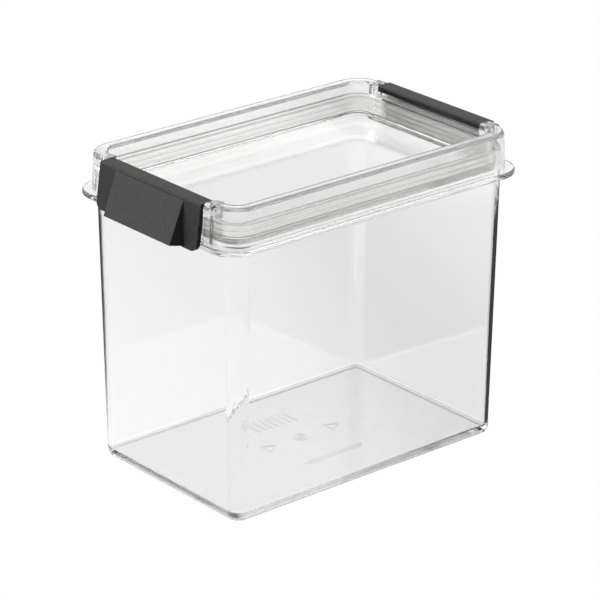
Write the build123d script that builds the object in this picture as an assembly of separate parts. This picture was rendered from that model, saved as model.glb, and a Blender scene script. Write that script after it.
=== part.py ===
from build123d import *
import math
import os

# Rectangular food canister with a clear lid that two hinged black clips hold down.
# Millimetres, +Z up, origin at the middle of the base on the surface it stands on.
# X runs along the long side, and the clips are at the -X and +X ends.

# ---- canister: walls, floor and foot ----
flange_top = 132.6           # height of the canister up to the top of its flange
wall_top_length = 160.9      # outside, where the walls meet the flange
wall_top_width = 104.6
wall_top_corner = 8.5
end_draft = 2.1              # each end stands in this much at the base
side_draft = 2.8
base_corner = 6.2
wall_thickness = 1.9
floor_thickness = 2.4
base_edge_round = 1.6        # outside edge under the walls
floor_edge_round = 1.2       # inside edge round the floor
foot_height = 1.0
foot_inset = 1.2             # the foot stands in from the walls
foot_ring_width = 2.6

# ---- canister: flange and upright rim ----
flange_thickness = 2.7
flange_end_overhang = 7.4    # past the wall
flange_side_overhang = 5.1
flange_corner = 14.0
flange_edge_round = 0.9
flange_notch_round = 2.0
rim_height = 10.6            # over the flange
rim_end_step = 1.55          # the rim stands out past the end walls
rim_side_step = 0.0
rim_corner = 11.6
rim_edge_round = 0.5
ledge_drop = 1.0             # the step inside the rim starts this far under the flange top

# ---- marks under the floor ----
mark_height = 0.35
gate_ring_radius = 3.6
gate_ring_bore = 2.3
gate_pip_radius = 0.9
triangle_side = 8.0
triangle_line = 0.7
triangle_offset = 19.3
label_bar_length = 34.0
label_bar_width = 2.4
label_bar_line = 0.6
label_bar_y = -24.0
grille_bars = 7
grille_bar_length = 10.0
grille_bar_width = 1.4
grille_pitch = 3.6
grille_y = 21.0

# ---- lid: bead, skirt, well and seal seat ----
skirt_gap = 0.2              # lid skirt over the canister flange
bead_height = 17.8           # top of the bead over the flange
bead_outer_round = 2.0
bead_inner_round = 1.5
skirt_flare = 0.9            # each side, from the top of the bead to the foot of the skirt
skirt_thickness = 1.4
skirt_rim_gap = 0.35         # between skirt and canister rim, at the top of the rim
bead_roof = 1.8
panel_thickness = 2.0
panel_over_flange = 2.4      # top of the recessed panel over the flange
panel_edge_round = 1.2
well_draft = 0.35            # each side, from the bead down to the panel
well_wall = 1.4
seal_room = 2.2              # from the well wall to the canister rim, at the panel
seat_lip_reach = 1.2         # lip under the seal
seat_lip_height = 1.6

# ---- seal ----
seal_seat_gap = 0.1
seal_band = 0.9
seal_height = 7.8
seal_fins = 3
seal_fin_height = 1.0
seal_rim_gap = 0.25          # fin tips stay this far from the canister rim

# ---- clips and their hinges ----
clip_length = 71.6
clip_side_gap = 0.3          # at each end, between clip and post
clip_top_under_bead = 0.4
clip_overhang = 2.95         # outside of the clip's top edge past the end of the bead
clip_top_depth = 8.0
clip_top_thickness = 1.4
clip_lip_thickness = 1.2
clip_lip_drop = 2.9
clip_plate_thickness = 2.2
clip_plate_slope = 3.0       # how far the plate leans out from top to bottom
clip_below_flange = 1.4      # bottom of the plate under the flange
clip_outer_round = 1.0
clip_inner_round = 1.0
clip_corner_round = 3.5
hinge_inboard = 2.6          # hinge axis from the clip's inner face
hinge_drop = 2.2             # hinge axis under the clip's top
hinge_bar_radius = 1.35
pintle_radius = 1.2
pintle_length = 2.3
pintle_gap = 0.06            # radial
pintle_end_gap = 0.3
post_width = 4.9
post_overhang = 1.65         # outside of the post past the end of the bead
post_top_round = 2.2
post_foot_round = 1.5
rim_roof_gap = 0.4           # roof of the clip notch over the canister rim
notch_roof = 1.0
notch_wall_height = 4.1      # top of the low wall beside the clip, under the bead
sweep_gap = 0.25             # round the clip's inner edge as it turns
flange_notch_gap = 0.55      # between flange and clip plate

# ---- finger tab and hooks on the clip ----
tab_top_drop = 1.4           # top of the tab under the clip's top
tab_inset = 11.8             # top corner of the tab from the end of the clip
tab_taper = 0.4              # each side of the tab's front face
tab_flare = 4.6              # each cheek, where it meets the bottom of the plate
tab_reach = 5.0              # foot of the tab past the plate
tab_foot_lift = 0.8          # foot of the tab over the bottom of the plate
tab_wall = 1.9
tab_cheek = 1.5
hook_width = 7.0
hook_inset = 3.3             # from the end of the clip
hook_reach = 1.4             # under the flange
hook_gap = 0.4               # under the flange
hook_bevel = 0.5
flange_lead_in = 0.6

# ---- worked out from the sizes above ----
base_length = wall_top_length - 2 * end_draft
base_width = wall_top_width - 2 * side_draft
flange_length = wall_top_length + 2 * flange_end_overhang
flange_width = wall_top_width + 2 * flange_side_overhang
rim_top = flange_top + rim_height
rim_length = wall_top_length + 2 * rim_end_step
rim_width = wall_top_width + 2 * rim_side_step
bead_top = flange_top + bead_height
panel_top = flange_top + panel_over_flange
panel_bottom = panel_top - panel_thickness
skirt_foot = flange_top + skirt_gap
roof_underside = bead_top - bead_roof
flare_at_rim = skirt_flare * (bead_top - rim_top) / (bead_top - skirt_foot)
bead_past_rim = skirt_rim_gap + skirt_thickness - flare_at_rim
bead_length = rim_length + 2 * bead_past_rim
bead_width = rim_width + 2 * bead_past_rim
bead_corner = rim_corner + bead_past_rim
well_in_rim = wall_thickness + seal_room + well_wall - well_draft
well_length = rim_length - 2 * well_in_rim
well_width = rim_width - 2 * well_in_rim
well_corner = rim_corner - well_in_rim

clip_top = bead_top - clip_top_under_bead
flange_underside = flange_top - flange_thickness
clip_foot = flange_underside - clip_below_flange
clip_out_top = bead_length / 2 + clip_overhang
clip_out_foot = clip_out_top + clip_plate_slope
clip_in = clip_out_top - clip_top_depth
plate_lean = clip_plate_slope / (clip_top - clip_foot)
hinge_x = clip_in + hinge_inboard
hinge_z = clip_top - hinge_drop
sweep_radius = clip_inner_round + math.hypot(hinge_inboard - clip_inner_round, hinge_drop - clip_inner_round)
notch_half = clip_length / 2 + clip_side_gap
post_half = notch_half + post_width
notch_wall_out = hinge_x - sweep_radius - sweep_gap
notch_ceiling = rim_top + rim_roof_gap
notch_floor = notch_ceiling + notch_roof
tab_top = clip_top - tab_top_drop
tab_foot = clip_foot + tab_foot_lift
tab_hollow_top = tab_top - clip_plate_thickness
notch_edge = clip_out_top + (clip_top - flange_top) * plate_lean - clip_plate_thickness - flange_notch_gap
overrun = 5.0                # how far cutting solids run past what they cut


def outline(length, width, corner, z):
    return Pos(0, 0, z) * RectangleRounded(length, width, corner)


def tapered(lower, upper):
    """Solid between two rounded rectangles, each (length, width, corner, z)."""
    return loft([outline(*lower), outline(*upper)], ruled=True)


def straight(length, width, corner, low, high):
    return extrude(outline(length, width, corner, low), high - low)


def along_y(points, y_low, y_high):
    """Prism along Y from a profile of (x, z) points."""
    profile = Plane.XZ * make_face(Polyline(*points, close=True))
    return Pos(0, y_high, 0) * extrude(profile, y_high - y_low)


def both_ends(piece):
    return piece + mirror(piece, Plane.YZ)


def plate_out(z):
    """How far out the outside of the clip plate is at height z."""
    return clip_out_top + (clip_top - z) * plate_lean


def skirt_at(z):
    """Length, width and corner of the outside of the lid at height z."""
    flare = skirt_flare * (bead_top - z) / (bead_top - skirt_foot)
    return bead_length + 2 * flare, bead_width + 2 * flare, bead_corner + flare


def well_at(z):
    """Length, width and corner of the inside of the lid's well at height z."""
    draft = well_draft * (bead_top - z) / (bead_top - panel_top)
    return well_length - 2 * draft, well_width - 2 * draft, well_corner - draft


def grown(section, by):
    length, width, corner = section
    return length + 2 * by, width + 2 * by, corner + by


def wall_at(z):
    """Length, width and corner of the outside of the canister wall at height z."""
    share = (z - foot_height) / (flange_top - foot_height)
    length = base_length + share * (wall_top_length - base_length)
    width = base_width + share * (wall_top_width - base_width)
    corner = base_corner + share * (wall_top_corner - base_corner)
    return length, width, corner


def floor_marks():
    """Raised moulding marks under the floor: a gate ring, two triangles, a bar and a plain grille."""
    gate = Circle(gate_ring_radius) - Circle(gate_ring_bore) + Circle(gate_pip_radius)
    triangle = RegularPolygon(triangle_side / math.sqrt(3), 3)
    hollow = RegularPolygon(triangle_side / math.sqrt(3) - 2 * triangle_line, 3)
    bar = SlotOverall(label_bar_length, label_bar_width)
    bar -= SlotOverall(label_bar_length - 2 * label_bar_line, label_bar_width - 2 * label_bar_line)
    marks = gate + Pos(0, label_bar_y) * bar
    for side in (-1, 1):
        marks += Pos(side * triangle_offset, 0) * (triangle - hollow)
    for place in range(grille_bars):
        shift = (place - (grille_bars - 1) / 2) * grille_pitch
        marks += Pos(shift, grille_y) * Rectangle(grille_bar_width, grille_bar_length)
    return Pos(0, 0, foot_height - mark_height) * extrude(marks, mark_height + floor_thickness / 2)


def flange():
    """Flat flange with a notch at each end, where a clip reaches down past it."""
    plate = RectangleRounded(flange_length, flange_width, flange_corner)
    notch_depth = flange_length / 2 - notch_edge
    for side in (-1, 1):
        centre = side * (flange_length / 2 - notch_depth / 2 + overrun / 2)
        plate -= Pos(centre, 0) * Rectangle(notch_depth + overrun, 2 * notch_half)
    corners = [v for v in plate.vertices() if abs(v.X) > notch_edge + notch_depth / 2]
    corners = [v for v in corners if abs(abs(v.Y) - notch_half) < notch_depth]
    plate = fillet(corners, min(flange_notch_round, notch_depth - 0.05))
    body = extrude(Pos(0, 0, flange_underside) * plate, flange_thickness)
    body = fillet(body.faces().filter_by(Axis.Z).edges(), flange_edge_round)
    lead_in = along_y([
        (notch_edge - flange_lead_in, flange_underside - overrun),
        (notch_edge - flange_lead_in, flange_underside),
        (notch_edge, flange_underside + flange_lead_in),
        (notch_edge + overrun, flange_underside + flange_lead_in),
        (notch_edge + overrun, flange_underside - overrun),
    ], -notch_half, notch_half)
    return body - both_ends(lead_in)


def make_canister():
    base = wall_at(foot_height)
    shell = tapered((*base, foot_height), (*wall_at(flange_top), flange_top))
    shell = fillet(shell.faces().sort_by(Axis.Z)[0].edges(), base_edge_round)
    foot = grown(base, -foot_inset)
    foot_ring = straight(*foot, 0, foot_height + floor_thickness / 2)
    foot_ring -= straight(*grown(foot, -foot_ring_width), -overrun, foot_height)
    rim = (rim_length, rim_width, rim_corner)
    upright = straight(*rim, flange_top - flange_thickness / 2, rim_top)
    body = shell + foot_ring + flange() + upright + floor_marks()

    floor_top = foot_height + floor_thickness
    ledge_high = flange_top - ledge_drop
    ledge_low = ledge_high - rim_end_step
    cavity = tapered(
        (*grown(wall_at(floor_top), -wall_thickness), floor_top),
        (*grown(wall_at(ledge_low), -wall_thickness), ledge_low),
    )
    cavity = fillet(cavity.faces().sort_by(Axis.Z)[0].edges(), floor_edge_round)
    mouth = grown(rim, -wall_thickness)
    step = tapered(
        (*grown(wall_at(ledge_low), -wall_thickness), ledge_low),
        (*mouth, ledge_high),
    )
    body = body - cavity - step - straight(*mouth, ledge_high, rim_top + overrun)
    lip = [edge for edge in body.edges() if abs(edge.center().Z - rim_top) < 0.01]
    return fillet(lip, rim_edge_round)


def bead_channel():
    """Room inside the lid for the canister rim and the seal, open below."""
    outer = tapered(
        (*grown(skirt_at(skirt_foot - overrun), -skirt_thickness), skirt_foot - overrun),
        (*grown(skirt_at(roof_underside), -skirt_thickness), roof_underside),
    )
    well = tapered(
        (*grown(well_at(panel_bottom), well_wall), panel_bottom),
        (*grown(well_at(bead_top), well_wall), bead_top),
    )
    seat_top = panel_bottom + seat_lip_height
    seat = straight(*grown(well_at(seat_top), well_wall + seat_lip_reach), panel_bottom, seat_top)
    return outer - well - seat


def hinge_post_block():
    """Side profile of the lid's end over the full width of the notch and its two posts."""
    post_top_x = bead_length / 2 + post_overhang
    post_foot_x = post_top_x + skirt_flare
    inner = well_at(notch_ceiling)[0] / 2 + well_wall / 2
    skirt_in = bead_length / 2 - skirt_thickness / 2
    points = [
        (inner, notch_ceiling),
        (inner, bead_top),
        (post_top_x, bead_top),
        (post_foot_x, skirt_foot),
        (skirt_in, skirt_foot),
        (skirt_in, notch_ceiling),
    ]
    block = along_y(points, -post_half, post_half)
    top_edge = block.edges().filter_by(Axis.Y).sort_by(Axis.Z)[-2:].sort_by(Axis.X)[-1]
    block = fillet(top_edge, post_top_round)
    foot_edge = block.edges().filter_by(Axis.Y).sort_by(Axis.X)[-1]
    return fillet(foot_edge, post_foot_round)


def clip_notch():
    """What is cut out of the lid's end to leave room for a clip: open above and outside."""
    far = bead_length / 2 + post_overhang + skirt_flare + overrun
    pocket = along_y([
        (notch_wall_out, notch_floor),
        (notch_wall_out, bead_top + overrun),
        (far, bead_top + overrun),
        (far, notch_floor),
    ], -notch_half, notch_half)
    wall_top = bead_top - notch_wall_height
    over_wall = along_y([
        (well_length / 2 - overrun, wall_top),
        (well_length / 2 - overrun, bead_top + overrun),
        (notch_wall_out + 1, bead_top + overrun),
        (notch_wall_out + 1, wall_top),
    ], -notch_half, notch_half)
    skirt_low_x = bead_length / 2 + skirt_flare
    outside = along_y([
        (bead_length / 2, bead_top),
        (skirt_low_x, skirt_foot),
        (skirt_low_x, skirt_foot - overrun),
        (far, skirt_foot - overrun),
        (far, bead_top),
    ], -notch_half, notch_half)
    bore = Cylinder(pintle_radius + pintle_gap, clip_length + 2 * (pintle_length + pintle_end_gap))
    bore = Pos(hinge_x, 0, hinge_z) * Rot(90, 0, 0) * bore
    return pocket + over_wall + outside + bore


def make_lid():
    body = tapered((*skirt_at(skirt_foot), skirt_foot), (*skirt_at(bead_top), bead_top))
    body = fillet(body.faces().sort_by(Axis.Z)[-1].edges(), bead_outer_round)
    well = tapered((*well_at(panel_top), panel_top), (*well_at(bead_top + overrun), bead_top + overrun))
    well = fillet(well.faces().sort_by(Axis.Z)[0].edges(), panel_edge_round)
    body = body - bead_channel() - well
    inner_edge = [
        edge for edge in body.edges()
        if abs(edge.center().Z - bead_top) < 0.01
        and abs(edge.center().X) <= well_length / 2 + 0.01
        and abs(edge.center().Y) <= well_width / 2 + 0.01
    ]
    body = fillet(inner_edge, bead_inner_round)
    body = body + both_ends(hinge_post_block())
    return body - both_ends(clip_notch())


def make_seal():
    """Silicone ring round the well wall, with fins that reach out to the canister rim."""
    foot = panel_bottom + seat_lip_height
    top = foot + seal_height
    inner_foot = grown(well_at(foot), well_wall + seal_seat_gap)
    inner_top = grown(well_at(top), well_wall + seal_seat_gap)
    ring = tapered((*grown(inner_foot, seal_band), foot), (*grown(inner_top, seal_band), top))
    tip = grown((rim_length, rim_width, rim_corner), -wall_thickness - seal_rim_gap)
    pitch = seal_height / seal_fins
    for place in range(seal_fins):
        low = foot + place * pitch + (pitch - seal_fin_height) / 2
        root = grown(well_at(low), well_wall + seal_band)
        ring += tapered((*root, low), (*tip, low + seal_fin_height))
    hole = tapered(
        (*grown(well_at(foot - overrun), well_wall + seal_seat_gap), foot - overrun),
        (*grown(well_at(top + overrun), well_wall + seal_seat_gap), top + overrun),
    )
    return ring - hole


def finger_tab(front_wall, cheek_wall, depth, foot, top):
    """Tab that slopes out of the clip plate, less the walls given, from depth inside the plate."""
    sections = []
    for z in (foot, top):
        share = (tab_top - z) / (tab_top - tab_foot)
        front = plate_out(z) + share * tab_reach - front_wall
        back = plate_out(z) - depth
        front_half = clip_length / 2 - tab_inset - share * tab_taper - cheek_wall
        root_half = clip_length / 2 - tab_inset + share * tab_flare - cheek_wall
        sections.append(make_face(Polyline(
            (front, -front_half, z),
            (front, front_half, z),
            (back, root_half, z),
            (back, -root_half, z),
            close=True,
        )))
    return loft(sections, ruled=True)


def make_clip():
    """Clip for the +X end: top strip, sloping plate, finger tab, hinge bar, pintles and hooks."""
    inside_top = clip_top - clip_top_thickness
    lip_in = clip_in + clip_lip_thickness
    half = clip_length / 2
    points = [
        (clip_in, clip_top - clip_lip_drop),
        (clip_in, clip_top),
        (clip_out_top, clip_top),
        (clip_out_foot, clip_foot),
        (clip_out_foot - clip_plate_thickness, clip_foot),
        (plate_out(inside_top) - clip_plate_thickness, inside_top),
        (lip_in, inside_top),
        (lip_in, clip_top - clip_lip_drop),
    ]
    body = along_y(points, -half, half)
    top_edges = body.edges().filter_by(Axis.Y).sort_by(Axis.Z)[-2:].sort_by(Axis.X)
    body = fillet(top_edges[0], clip_inner_round)
    outer_edge = body.edges().filter_by(Axis.Y).sort_by(Axis.Z)[-2:].sort_by(Axis.X)[-1]
    body = fillet(outer_edge, clip_outer_round)
    height = clip_top - clip_foot
    front = Plane.YZ * Pos(0, (clip_top + clip_foot) / 2) * Rectangle(clip_length, height)
    corners = front.vertices().sort_by(Axis.Z)[:2]
    body &= Pos(clip_in - overrun, 0, 0) * extrude(fillet(corners, clip_corner_round), 4 * overrun)

    body += finger_tab(0, 0, clip_plate_thickness / 2, tab_foot, tab_top)
    body -= finger_tab(tab_wall, tab_cheek, 2 * clip_plate_thickness, tab_foot - overrun, tab_hollow_top)
    body -= finger_tab(-overrun, tab_cheek, 2 * clip_plate_thickness, tab_foot - overrun, tab_foot)

    bar = Pos(hinge_x, 0, hinge_z) * Rot(90, 0, 0) * Cylinder(hinge_bar_radius, clip_length)
    web_height = inside_top - hinge_z + clip_top_thickness / 2
    web = Pos(hinge_x, 0, hinge_z + web_height / 2) * Box(2 * hinge_bar_radius, clip_length, web_height)
    pintles = Cylinder(pintle_radius, clip_length + 2 * pintle_length)
    body += bar + web + Pos(hinge_x, 0, hinge_z) * Rot(90, 0, 0) * pintles

    hook_tip = notch_edge - hook_reach
    hook_root = clip_out_foot - clip_plate_thickness / 2
    hook_top = flange_underside - hook_gap
    hook_profile = [
        (hook_root, clip_foot),
        (hook_tip + hook_bevel, clip_foot),
        (hook_tip, clip_foot + hook_bevel),
        (hook_tip, hook_top),
        (hook_root, hook_top),
    ]
    hook_out = half - hook_inset
    for low in (-hook_out, hook_out - hook_width):
        body += along_y(hook_profile, low, low + hook_width)
    return body


def main():
    clip_right = make_clip()
    pieces = {
        "canister_body": make_canister(),
        "lid": make_lid(),
        "seal_ring": make_seal(),
        "clip_left": mirror(clip_right, Plane.YZ),
        "clip_right": clip_right,
    }
    os.makedirs("parts", exist_ok=True)
    for node, piece in pieces.items():
        export_step(piece, f"parts/{node}.step")


main()
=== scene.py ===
import math

import bpy
from mathutils import Matrix, Vector

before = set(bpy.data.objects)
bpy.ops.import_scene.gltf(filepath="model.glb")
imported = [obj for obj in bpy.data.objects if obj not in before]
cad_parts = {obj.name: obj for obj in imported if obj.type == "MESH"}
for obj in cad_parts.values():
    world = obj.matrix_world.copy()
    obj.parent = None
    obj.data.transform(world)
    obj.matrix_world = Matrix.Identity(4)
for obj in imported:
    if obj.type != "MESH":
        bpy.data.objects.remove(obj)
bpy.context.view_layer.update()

MM = 0.001
EASE = {"interpolation_type": "SMOOTHSTEP"}
UPWARDS = (0, 0, 1)

# ---- where a clear piece changes finish, and where the underside's painted shade ends, as heights above the table ----
UNDERSIDE_SATIN_AND_SHADE_TOP = 1.4 * MM             # the satin and the painted grey shade of the foot and the floor's underside end here
BODY_SATIN_FROM = 130.6 * MM         # the flange and the rim above this are less polished
LID_SATIN_FROM = 136 * MM            # the lid above its panel is less polished
FINISH_BLEND = 0.6 * MM

# ---- finishes, as roughness ----
MIRROR_POLISH = 0.012
BODY_RIM_SATIN = 0.10
LID_RIM_SATIN = 0.13
UNDERSIDE_SATIN = 0.16
POLISH_UNEVENNESS = 0.15             # share by which the polish goes up and down
SILICONE_SATIN = 0.12
CLIP_SHEEN, CLIP_MATTE = 0.3, 0.5    # tops and hollows of the clips' grain

# ---- clarity, as the share of light that goes through unscattered ----
BODY_CLARITY = 1.0
LID_CLARITY = 0.97

# ---- patterns, in millimetres from one patch or grain to the next ----
FLOW_RIPPLE = 24.0
POLISH_PATCH = 9.0
SILICONE_CLOUD = 14.0
SILICONE_GRAIN = 0.6
CLIP_GRAIN = 0.8
CLIP_PATCH = 6.0

# ---- studio light, as radiance and as directions in the object's frame ----
TABLE_HALF_WIDTH = 4.0
TABLE_DROP = 0.2 * MM                # keeps the table clear of the foot
TABLE_SHADE_DIRECTION = (0.90, 0.43, 0)
TABLE_SHADE_START = -45 * MM
TABLE_SHADE_END = 45 * MM
TABLE_SHADE = 0.05
TABLE_SHADE_RIM_START = 340 * MM     # as distances from the middle of the object
TABLE_SHADE_RIM_END = 440 * MM
WALL_LIGHT = 0.8
CEILING_LIGHT = 2.4
CEILING_FROM, CEILING_TO = 0.42, 0.8
FRONT = (-0.50, -0.75, 0.43)
FRONT_FROM, FRONT_TO = 0.35, 0.8
FRONT_LIGHT = 0.03
SOFTBOX_EDGE = 0.15
ANY_TURN = 0.5                       # depths are whole numbers, so this parts none from one or more
SOFTBOXES = (
    # direction, spread, light
    ((-0.74, 0.64, 0.20), 0.72, 2.1),    # left
    ((0.76, -0.50, 0.42), 0.80, 1.6),    # right
)

# ---- camera ----
CAMERA_AZIMUTH = math.radians(-40.241)
CAMERA_HEIGHT = math.radians(22.443)
CAMERA_ROLL = math.radians(0.234)
CAMERA_DISTANCE = 1454.78 * MM
CAMERA_AIM = Vector((-15.54, -18.39, 81.63)) * MM
SENSOR_WIDTH = 36
LENS = 192.25


def linear(code):
    """Linear red, green, blue and alpha of an sRGB hex colour."""
    channels = [int(code[i:i + 2], 16) / 255 for i in (1, 3, 5)]
    return tuple(c / 12.92 if c <= 0.04045 else ((c + 0.055) / 1.055) ** 2.4 for c in channels) + (1.0,)


def per_metre(size_mm):
    """Texture scale that makes one period of a pattern size_mm long."""
    return 1 / (size_mm * MM)


def add(tree, kind, settings, inputs):
    """Adds a node with its settings and inputs, each a value or a socket to link. Gives its outputs."""
    node = tree.nodes.new(kind)
    for name, value in settings.items():
        setattr(node, name, value)
    for name, value in inputs.items():
        socket = node.inputs[name]
        if isinstance(value, bpy.types.NodeSocket):
            tree.links.new(value, socket)
        else:
            socket.default_value = value
    return node.outputs


def new_material(name):
    """An empty material, its node tree, and the place on the object that its patterns start from."""
    material = bpy.data.materials.new(name)
    material.use_nodes = True
    tree = material.node_tree
    tree.nodes.clear()
    return material, tree, add(tree, "ShaderNodeTexCoord", {}, {})["Object"]


# ---- materials ----
def clear_styrene(name, tint, satin_from, satin, clarity):
    """Clear styrene (SAN), injection moulded in a polished mould: glassy and colourless, with a long,
    faint flow ripple. From satin_from up, round the rim, the mould is less polished, which softens what the
    rim bends. The underside is left satin, and its colour there turns a light grey: a painted shade that
    darkens the base. A clarity under 1 leaves a little milk in it."""
    material, tree, place = new_material(name)
    ripple = add(tree, "ShaderNodeTexNoise", {}, {
        "Vector": place, "Scale": per_metre(FLOW_RIPPLE), "Detail": 1.0, "Roughness": 0.4})["Fac"]
    bump = add(tree, "ShaderNodeBump", {}, {
        "Height": ripple, "Strength": 0.25, "Distance": 0.05 * MM})["Normal"]
    height = add(tree, "ShaderNodeVectorMath", {"operation": "DOT_PRODUCT"}, {
        0: place, 1: UPWARDS})["Value"]
    underside = add(tree, "ShaderNodeMapRange", EASE, {
        "Value": height, "From Min": UNDERSIDE_SATIN_AND_SHADE_TOP - FINISH_BLEND / 2, "From Max": UNDERSIDE_SATIN_AND_SHADE_TOP,
        "To Min": 1.0, "To Max": 0.0})["Result"]
    # below the underside's top the tint turns light grey (#dddcdd): painted shade that darkens the base
    colour = add(tree, "ShaderNodeMixRGB", {}, {
        "Fac": underside, "Color1": tint, "Color2": linear("#dddcdd")})["Color"]
    rim_finish = add(tree, "ShaderNodeMapRange", EASE, {
        "Value": height, "From Min": satin_from - FINISH_BLEND, "From Max": satin_from,
        "To Min": MIRROR_POLISH, "To Max": satin})["Result"]
    underside_finish = add(tree, "ShaderNodeMath", {"operation": "MULTIPLY"}, {
        0: underside, 1: UNDERSIDE_SATIN})["Value"]
    finish = add(tree, "ShaderNodeMath", {"operation": "MAXIMUM"}, {
        0: rim_finish, 1: underside_finish})["Value"]
    polish = add(tree, "ShaderNodeTexNoise", {}, {
        "Vector": place, "Scale": per_metre(POLISH_PATCH), "Detail": 3.0, "Roughness": 0.55})["Fac"]
    uneven = add(tree, "ShaderNodeMapRange", EASE, {
        "Value": polish, "From Min": 0.35, "From Max": 0.7,
        "To Min": 1 - POLISH_UNEVENNESS, "To Max": 1 + POLISH_UNEVENNESS})["Result"]
    roughness = add(tree, "ShaderNodeMath", {"operation": "MULTIPLY"}, {0: finish, 1: uneven})["Value"]
    shader = add(tree, "ShaderNodeBsdfPrincipled", {}, {
        "Base Color": colour, "IOR": 1.57, "Transmission Weight": clarity, "Roughness": roughness,
        "Normal": bump})
    add(tree, "ShaderNodeOutputMaterial", {}, {"Surface": shader["BSDF"]})
    return material


def milky_silicone():
    """Food-grade silicone, compression moulded: faintly warm and see-through, milky from its satin skin.
    The skin's real grain is about 0.1 mm and is drawn at 0.6 mm so that it shows."""
    material, tree, place = new_material("milky_silicone")
    cloud = add(tree, "ShaderNodeTexNoise", {}, {
        "Vector": place, "Scale": per_metre(SILICONE_CLOUD), "Detail": 2.0, "Roughness": 0.5})["Fac"]
    colour = add(tree, "ShaderNodeMixRGB", {}, {
        "Fac": cloud, "Color1": linear("#fefefd"), "Color2": linear("#fbfbf9")})["Color"]
    skin = add(tree, "ShaderNodeTexNoise", {}, {
        "Vector": place, "Scale": per_metre(SILICONE_GRAIN), "Detail": 2.0, "Roughness": 0.6})["Fac"]
    bump = add(tree, "ShaderNodeBump", {}, {
        "Height": skin, "Strength": 0.2, "Distance": 0.03 * MM})["Normal"]
    shader = add(tree, "ShaderNodeBsdfPrincipled", {}, {
        "Base Color": colour, "IOR": 1.41, "Transmission Weight": 1.0, "Roughness": SILICONE_SATIN,
        "Normal": bump})
    add(tree, "ShaderNodeOutputMaterial", {}, {"Surface": shader["BSDF"]})
    return material


def black_polypropylene():
    """Black polypropylene, moulded in a spark-eroded mould: dull near-black with a fine even grain. The
    real grain is about 0.15 mm and is drawn at 0.8 mm so that it shows."""
    material, tree, place = new_material("black_polypropylene")
    grain = add(tree, "ShaderNodeTexNoise", {}, {
        "Vector": place, "Scale": per_metre(CLIP_GRAIN), "Detail": 2.0, "Roughness": 0.6})["Fac"]
    bump = add(tree, "ShaderNodeBump", {}, {
        "Height": grain, "Strength": 0.9, "Distance": 0.12 * MM})["Normal"]
    patch = add(tree, "ShaderNodeTexNoise", {}, {
        "Vector": place, "Scale": per_metre(CLIP_PATCH), "Detail": 2.0, "Roughness": 0.5})["Fac"]
    colour = add(tree, "ShaderNodeMixRGB", {}, {
        "Fac": patch, "Color1": linear("#0c0b0b"), "Color2": linear("#121111")})["Color"]
    roughness = add(tree, "ShaderNodeMapRange", {}, {
        "Value": grain, "From Min": 0.35, "From Max": 0.65,
        "To Min": CLIP_SHEEN, "To Max": CLIP_MATTE})["Result"]
    shader = add(tree, "ShaderNodeBsdfPrincipled", {}, {
        "Base Color": colour, "IOR": 1.49, "Specular IOR Level": 0.285, "Roughness": roughness,
        "Normal": bump})
    add(tree, "ShaderNodeOutputMaterial", {}, {"Surface": shader["BSDF"]})
    return material


def finish_nodes():
    clip_finish = black_polypropylene()
    finishes = {
        "canister_body": clear_styrene(
            "clear_styrene_body", linear("#fbfbfb"), BODY_SATIN_FROM, BODY_RIM_SATIN, BODY_CLARITY),
        "lid": clear_styrene(
            "clear_styrene_lid", linear("#ffffff"), LID_SATIN_FROM, LID_RIM_SATIN, LID_CLARITY),
        "seal_ring": milky_silicone(),
        "clip_left": clip_finish,
        "clip_right": clip_finish,
    }
    for node, material in finishes.items():
        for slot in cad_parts[node].material_slots:
            slot.material = material


# ---- studio ----
def white_unless_mirrored(tree, light):
    """White to look at, and light as a lamp and in reflections."""
    depths = add(tree, "ShaderNodeLightPath", {}, {})
    turns = add(tree, "ShaderNodeMath", {"operation": "MAXIMUM"}, {
        0: depths["Glossy Depth"], 1: depths["Diffuse Depth"]})["Value"]
    turned = add(tree, "ShaderNodeMath", {"operation": "GREATER_THAN"}, {0: turns, 1: ANY_TURN})["Value"]
    return add(tree, "ShaderNodeMix", {"data_type": "FLOAT"}, {
        "Factor": turned, "A": 1.0, "B": light})["Result"]


def opal_acrylic_table():
    """Opal acrylic table lit from below: even white to look at. What the clear walls mirror of it is a
    pool of light in front of the object and a shaded patch behind, which draws the edges' dark lines."""
    material, tree, place = new_material("opal_acrylic_table")
    reach = add(tree, "ShaderNodeVectorMath", {"operation": "DOT_PRODUCT"}, {
        0: place, 1: TABLE_SHADE_DIRECTION})["Value"]
    pool = add(tree, "ShaderNodeMapRange", EASE, {
        "Value": reach, "From Min": TABLE_SHADE_START, "From Max": TABLE_SHADE_END,
        "To Min": 1.0, "To Max": TABLE_SHADE})["Result"]
    distance = add(tree, "ShaderNodeVectorMath", {"operation": "LENGTH"}, {0: place})["Value"]
    beyond = add(tree, "ShaderNodeMapRange", EASE, {
        "Value": distance, "From Min": TABLE_SHADE_RIM_START, "From Max": TABLE_SHADE_RIM_END,
        "To Min": 0.0, "To Max": 1.0})["Result"]
    lit = add(tree, "ShaderNodeMath", {"operation": "MAXIMUM"}, {0: pool, 1: beyond})["Value"]
    glow = add(tree, "ShaderNodeEmission", {}, {"Strength": white_unless_mirrored(tree, lit)})
    add(tree, "ShaderNodeOutputMaterial", {}, {"Surface": glow["Emission"]})
    return material


def make_table():
    mesh = bpy.data.meshes.new("table")
    signs = ((-1, -1), (1, -1), (1, 1), (-1, 1))
    corners = [(x * TABLE_HALF_WIDTH, y * TABLE_HALF_WIDTH, 0) for x, y in signs]
    mesh.from_pydata(corners, [], [(0, 1, 2, 3)])
    mesh.materials.append(opal_acrylic_table())
    table = bpy.data.objects.new("table", mesh)
    table.location.z = -TABLE_DROP
    bpy.context.scene.collection.objects.link(table)


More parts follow.
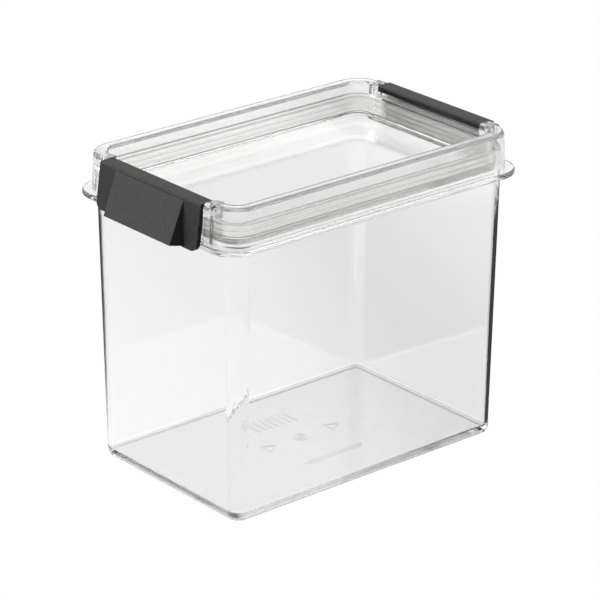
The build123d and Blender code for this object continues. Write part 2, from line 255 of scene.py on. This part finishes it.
def make_surroundings():
    """A white room with a grey wall behind, a bright ceiling, a softbox on each side and a dark front."""
    world = bpy.data.worlds.new("studio")
    world.use_nodes = True
    tree = world.node_tree
    tree.nodes.clear()
    towards = add(tree, "ShaderNodeTexCoord", {}, {})["Generated"]
    rise = add(tree, "ShaderNodeVectorMath", {"operation": "DOT_PRODUCT"}, {
        0: towards, 1: UPWARDS})["Value"]
    walls = add(tree, "ShaderNodeMapRange", EASE, {
        "Value": rise, "From Min": CEILING_FROM, "From Max": CEILING_TO,
        "To Min": WALL_LIGHT, "To Max": CEILING_LIGHT})["Result"]
    frontness = add(tree, "ShaderNodeVectorMath", {"operation": "DOT_PRODUCT"}, {
        0: towards, 1: FRONT})["Value"]
    front = add(tree, "ShaderNodeMapRange", EASE, {
        "Value": frontness, "From Min": FRONT_FROM, "From Max": FRONT_TO,
        "To Min": 1.0, "To Max": FRONT_LIGHT})["Result"]
    room = add(tree, "ShaderNodeMath", {"operation": "MULTIPLY"}, {0: walls, 1: front})["Value"]
    for direction, spread, light in SOFTBOXES:
        nearness = add(tree, "ShaderNodeVectorMath", {"operation": "DOT_PRODUCT"}, {
            0: towards, 1: direction})["Value"]
        softbox = add(tree, "ShaderNodeMapRange", EASE, {
            "Value": nearness, "From Min": spread, "From Max": spread + SOFTBOX_EDGE,
            "To Min": 0.0, "To Max": light})["Result"]
        room = add(tree, "ShaderNodeMath", {"operation": "ADD"}, {0: room, 1: softbox})["Value"]
    glow = add(tree, "ShaderNodeBackground", {}, {
        "Color": (1, 1, 1, 1), "Strength": white_unless_mirrored(tree, room)})
    add(tree, "ShaderNodeOutputWorld", {}, {"Surface": glow["Background"]})
    bpy.context.scene.world = world


def make_camera():
    """The camera looks at the left front corner from a little above, through a long lens."""
    level = math.cos(CAMERA_HEIGHT)
    back = Vector((
        math.sin(CAMERA_AZIMUTH) * level, -math.cos(CAMERA_AZIMUTH) * level, math.sin(CAMERA_HEIGHT)))
    level_right = Vector((math.cos(CAMERA_AZIMUTH), math.sin(CAMERA_AZIMUTH), 0))
    level_up = back.cross(level_right)
    right = level_right * math.cos(CAMERA_ROLL) + level_up * math.sin(CAMERA_ROLL)
    up = level_up * math.cos(CAMERA_ROLL) - level_right * math.sin(CAMERA_ROLL)
    data = bpy.data.cameras.new("camera")
    data.sensor_width = SENSOR_WIDTH
    data.lens = LENS
    camera = bpy.data.objects.new("camera", data)
    turn = Matrix((right, up, back)).transposed().to_4x4()
    camera.matrix_world = Matrix.Translation(CAMERA_AIM + back * CAMERA_DISTANCE) @ turn
    bpy.context.scene.collection.objects.link(camera)
    bpy.context.scene.camera = camera


def set_light_paths():
    """Light crosses many clear skins on its way through, so its paths have to be long."""
    scene = bpy.context.scene
    scene.view_settings.view_transform = "Standard"
    scene.cycles.max_bounces = 48
    scene.cycles.transmission_bounces = 48
    scene.cycles.glossy_bounces = 32


finish_nodes()
make_table()
make_surroundings()
make_camera()
set_light_paths()
